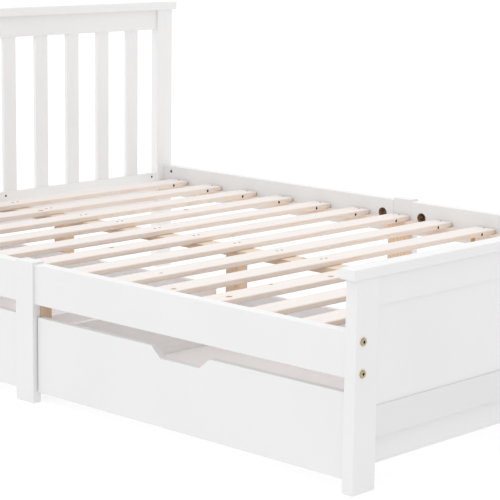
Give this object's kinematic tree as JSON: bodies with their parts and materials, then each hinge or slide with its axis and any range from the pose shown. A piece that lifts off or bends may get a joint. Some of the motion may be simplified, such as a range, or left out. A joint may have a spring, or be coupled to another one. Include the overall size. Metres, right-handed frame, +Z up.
{
  "type": "trundle bed",
  "caption": "Full-size slatted platform bed with a slatted headboard, panelled footboard and two rolling drawers under one side.",
  "frame": {"origin": "on the floor at the middle of the footprint", "axes": "+Z up, +Y towards the headboard, +X away from the drawers; the drawers open towards -X"},
  "size_m": [1.462, 2.03, 0.85],
  "materials": {
    "white_paint": "satin white paint over pine",
    "bare_pine": "unpainted sanded pine",
    "drawer_board": "pale sealed board",
    "zinc_steel": "yellow zinc plated",
    "wheel_plastic": "moulded nylon"
  },
  "bodies": {
    "bed_frame": {"centre_beam": "bare_pine", "centre_legs": "bare_pine", "foot_apron": "white_paint", "foot_cap": "white_paint", "foot_lower_rail": "white_paint", "foot_panel": "white_paint", "foot_post_drawer_side": "white_paint", "foot_post_far_side": "white_paint", "foot_top_rail": "white_paint", "head_bottom_rail": "white_paint", "head_cap": "white_paint", "head_post_drawer_side": "white_paint", "head_post_far_side": "white_paint", "head_spindles": "white_paint", "head_top_rail": "white_paint", "mid_leg_blocks": "bare_pine", "mid_leg_drawer_side": "white_paint", "mid_leg_far_side": "white_paint", "rail_bolts": "zinc_steel", "rail_nuts": "zinc_steel", "side_rail_drawer_side_foot": "white_paint", "side_rail_drawer_side_head": "white_paint", "side_rail_far_side_foot": "white_paint", "side_rail_far_side_head": "white_paint", "slat_01": "bare_pine", "slat_02": "bare_pine", "slat_03": "bare_pine", "slat_04": "bare_pine", "slat_05": "bare_pine", "slat_06": "bare_pine", "slat_07": "bare_pine", "slat_08": "bare_pine", "slat_09": "bare_pine", "slat_10": "bare_pine", "slat_11": "bare_pine", "slat_12": "bare_pine", "slat_13": "bare_pine", "slat_ledgers_drawer_side": "bare_pine", "slat_ledgers_far_side": "bare_pine", "slat_screws": "zinc_steel"},
    "drawer_head": {"drawer_head_back": "drawer_board", "drawer_head_caster_forks": "zinc_steel", "drawer_head_floor": "drawer_board", "drawer_head_foot_end_wall": "drawer_board", "drawer_head_front": "white_paint", "drawer_head_head_end_wall": "drawer_board"},
    "drawer_foot": {"drawer_foot_back": "drawer_board", "drawer_foot_caster_forks": "zinc_steel", "drawer_foot_floor": "drawer_board", "drawer_foot_foot_end_wall": "drawer_board", "drawer_foot_front": "white_paint", "drawer_foot_head_end_wall": "drawer_board"},
    "drawer_foot_wheel_back_foot": {"drawer_foot_wheel_back_foot": "wheel_plastic"},
    "drawer_foot_wheel_back_head": {"drawer_foot_wheel_back_head": "wheel_plastic"},
    "drawer_foot_wheel_front_foot": {"drawer_foot_wheel_front_foot": "wheel_plastic"},
    "drawer_foot_wheel_front_head": {"drawer_foot_wheel_front_head": "wheel_plastic"},
    "drawer_head_wheel_back_foot": {"drawer_head_wheel_back_foot": "wheel_plastic"},
    "drawer_head_wheel_back_head": {"drawer_head_wheel_back_head": "wheel_plastic"},
    "drawer_head_wheel_front_foot": {"drawer_head_wheel_front_foot": "wheel_plastic"},
    "drawer_head_wheel_front_head": {"drawer_head_wheel_front_head": "wheel_plastic"}
  },
  "joints": [
    {"name": "drawer_head_slide", "type": "slide", "parent": "bed_frame", "child": "drawer_head", "axis": [-1, 0, 0], "range_m": [0, 0.6]},
    {"name": "drawer_head_wheel_front_head_spin", "type": "hinge", "parent": "drawer_head", "child": "drawer_head_wheel_front_head", "pos_m": [-0.575, 0.847, 0.02], "axis": [0, 1, 0], "continuous": true},
    {"name": "drawer_head_wheel_front_foot_spin", "type": "hinge", "parent": "drawer_head", "child": "drawer_head_wheel_front_foot", "pos_m": [-0.575, 0.164, 0.02], "axis": [0, 1, 0], "continuous": true},
    {"name": "drawer_head_wheel_back_head_spin", "type": "hinge", "parent": "drawer_head", "child": "drawer_head_wheel_back_head", "pos_m": [-0.139, 0.847, 0.02], "axis": [0, 1, 0], "continuous": true},
    {"name": "drawer_head_wheel_back_foot_spin", "type": "hinge", "parent": "drawer_head", "child": "drawer_head_wheel_back_foot", "pos_m": [-0.139, 0.164, 0.02], "axis": [0, 1, 0], "continuous": true},
    {"name": "drawer_foot_slide", "type": "slide", "parent": "bed_frame", "child": "drawer_foot", "axis": [-1, 0, 0], "range_m": [0, 0.6]},
    {"name": "drawer_foot_wheel_front_head_spin", "type": "hinge", "parent": "drawer_foot", "child": "drawer_foot_wheel_front_head", "pos_m": [-0.575, -0.164, 0.02], "axis": [0, 1, 0], "continuous": true},
    {"name": "drawer_foot_wheel_front_foot_spin", "type": "hinge", "parent": "drawer_foot", "child": "drawer_foot_wheel_front_foot", "pos_m": [-0.575, -0.847, 0.02], "axis": [0, 1, 0], "continuous": true},
    {"name": "drawer_foot_wheel_back_head_spin", "type": "hinge", "parent": "drawer_foot", "child": "drawer_foot_wheel_back_head", "pos_m": [-0.139, -0.164, 0.02], "axis": [0, 1, 0], "continuous": true},
    {"name": "drawer_foot_wheel_back_foot_spin", "type": "hinge", "parent": "drawer_foot", "child": "drawer_foot_wheel_back_foot", "pos_m": [-0.139, -0.847, 0.02], "axis": [0, 1, 0], "continuous": true}
  ],
  "couplings": [
    {"joint": "drawer_head_wheel_front_head_spin", "follows": "drawer_head_slide", "rad_per_m": -50},
    {"joint": "drawer_head_wheel_front_foot_spin", "follows": "drawer_head_slide", "rad_per_m": -50},
    {"joint": "drawer_head_wheel_back_head_spin", "follows": "drawer_head_slide", "rad_per_m": -50},
    {"joint": "drawer_head_wheel_back_foot_spin", "follows": "drawer_head_slide", "rad_per_m": -50},
    {"joint": "drawer_foot_wheel_front_head_spin", "follows": "drawer_foot_slide", "rad_per_m": -50},
    {"joint": "drawer_foot_wheel_front_foot_spin", "follows": "drawer_foot_slide", "rad_per_m": -50},
    {"joint": "drawer_foot_wheel_back_head_spin", "follows": "drawer_foot_slide", "rad_per_m": -50},
    {"joint": "drawer_foot_wheel_back_foot_spin", "follows": "drawer_foot_slide", "rad_per_m": -50}
  ]
}
